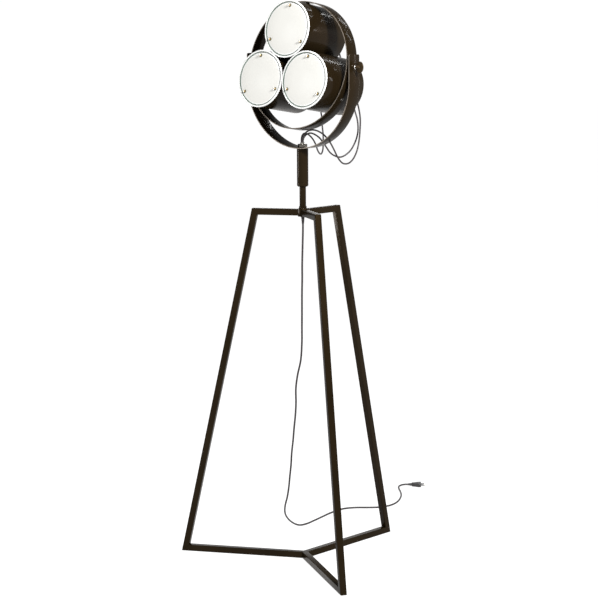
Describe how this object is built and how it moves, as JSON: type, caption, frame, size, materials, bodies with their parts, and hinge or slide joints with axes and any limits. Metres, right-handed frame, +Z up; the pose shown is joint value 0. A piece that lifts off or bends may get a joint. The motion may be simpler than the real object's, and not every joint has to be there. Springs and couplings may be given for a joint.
{
  "type": "tripod floor lamp",
  "caption": "Floor lamp: can spotlights with frosted glass in a tilting ring, held by a swivelling yoke on a square-tube tripod.",
  "frame": {"origin": "on the floor, under the middle of the bottom hub and on the axis of the stem", "axes": "+Z up along the stem; the spotlights face -Y at rest; +X to the right as seen from in front of them"},
  "size_m": [0.7052, 1.1818, 1.7356],
  "materials": {
    "bronze_paint": "glossy dark bronze paint",
    "dark_chrome": "dark polished plating",
    "bright_steel": "bright turned steel",
    "brass": "satin",
    "frosted_glass": "frosted with a clear ground rim",
    "bulb_glass": "clear bulb with a metal cap",
    "reflector_aluminium": "polished",
    "porcelain": "glazed ceramic",
    "nylon": "plain",
    "grey_cable": "smooth sheath",
    "black_plastic": "fine moulded"
  },
  "bodies": {
    "base": {"top_arm_left": "bronze_paint", "leg_left": "bronze_paint", "bottom_rail_left": "bronze_paint", "top_arm_right": "bronze_paint", "leg_right": "bronze_paint", "bottom_rail_right": "bronze_paint", "top_arm_rear": "bronze_paint", "leg_rear": "bronze_paint", "bottom_rail_rear": "bronze_paint", "top_hub": "bronze_paint", "bottom_hub": "bronze_paint", "stem_tube": "bronze_paint", "stem_collar": "bronze_paint", "cord_gland": "grey_cable", "mains_cord": "grey_cable", "plug_body": "black_plastic", "plug_pin_near": "bright_steel", "plug_pin_far": "bright_steel"},
    "yoke": {"swivel_sleeve": "bronze_paint", "swivel_bush": "nylon", "cable_nipple": "bright_steel", "yoke_nut": "dark_chrome", "yoke": "bronze_paint", "tilt_spacer_left": "nylon", "tilt_spacer_right": "nylon", "lead_left": "grey_cable", "lead_right": "grey_cable", "lead_top": "grey_cable"},
    "lamp_head": {"ring_hoop": "bronze_paint", "can_screw_top": "dark_chrome", "can_top": "bronze_paint", "rear_cap_top": "bronze_paint", "reflector_top": "reflector_aluminium", "lamp_holder_top": "porcelain", "bulb_top": "bulb_glass", "glass_top": "frosted_glass", "glass_clips_top": "brass", "lead_gland_top": "black_plastic", "can_screw_left": "dark_chrome", "can_left": "bronze_paint", "rear_cap_left": "bronze_paint", "reflector_left": "reflector_aluminium", "lamp_holder_left": "porcelain", "bulb_left": "bulb_glass", "glass_left": "frosted_glass", "glass_clips_left": "brass", "lead_gland_left": "black_plastic", "can_screw_right": "dark_chrome", "can_right": "bronze_paint", "rear_cap_right": "bronze_paint", "reflector_right": "reflector_aluminium", "lamp_holder_right": "porcelain", "bulb_right": "bulb_glass", "glass_right": "frosted_glass", "glass_clips_right": "brass", "lead_gland_right": "black_plastic"},
    "knob_left": {"tilt_screw_left": "bright_steel", "tilt_paddle_left": "bronze_paint"},
    "knob_right": {"tilt_screw_right": "bright_steel", "tilt_paddle_right": "bronze_paint"}
  },
  "joints": [
    {"name": "head_swivel", "type": "hinge", "parent": "base", "child": "yoke", "pos_m": [0, 0, 1.22], "axis": [0, 0, 1], "range_deg": [-170, 170]},
    {"name": "head_tilt", "type": "hinge", "parent": "yoke", "child": "lamp_head", "pos_m": [0, 0, 1.537], "axis": [1, 0, 0], "range_deg": [-40, 50], "deforming": ["lead_left", "lead_right", "lead_top"]},
    {"name": "knob_left_turn", "type": "hinge", "parent": "yoke", "child": "knob_left", "pos_m": [-0.215, 0, 1.537], "axis": [1, 0, 0], "continuous": true},
    {"name": "knob_right_turn", "type": "hinge", "parent": "yoke", "child": "knob_right", "pos_m": [0.215, 0, 1.537], "axis": [1, 0, 0], "continuous": true}
  ]
}
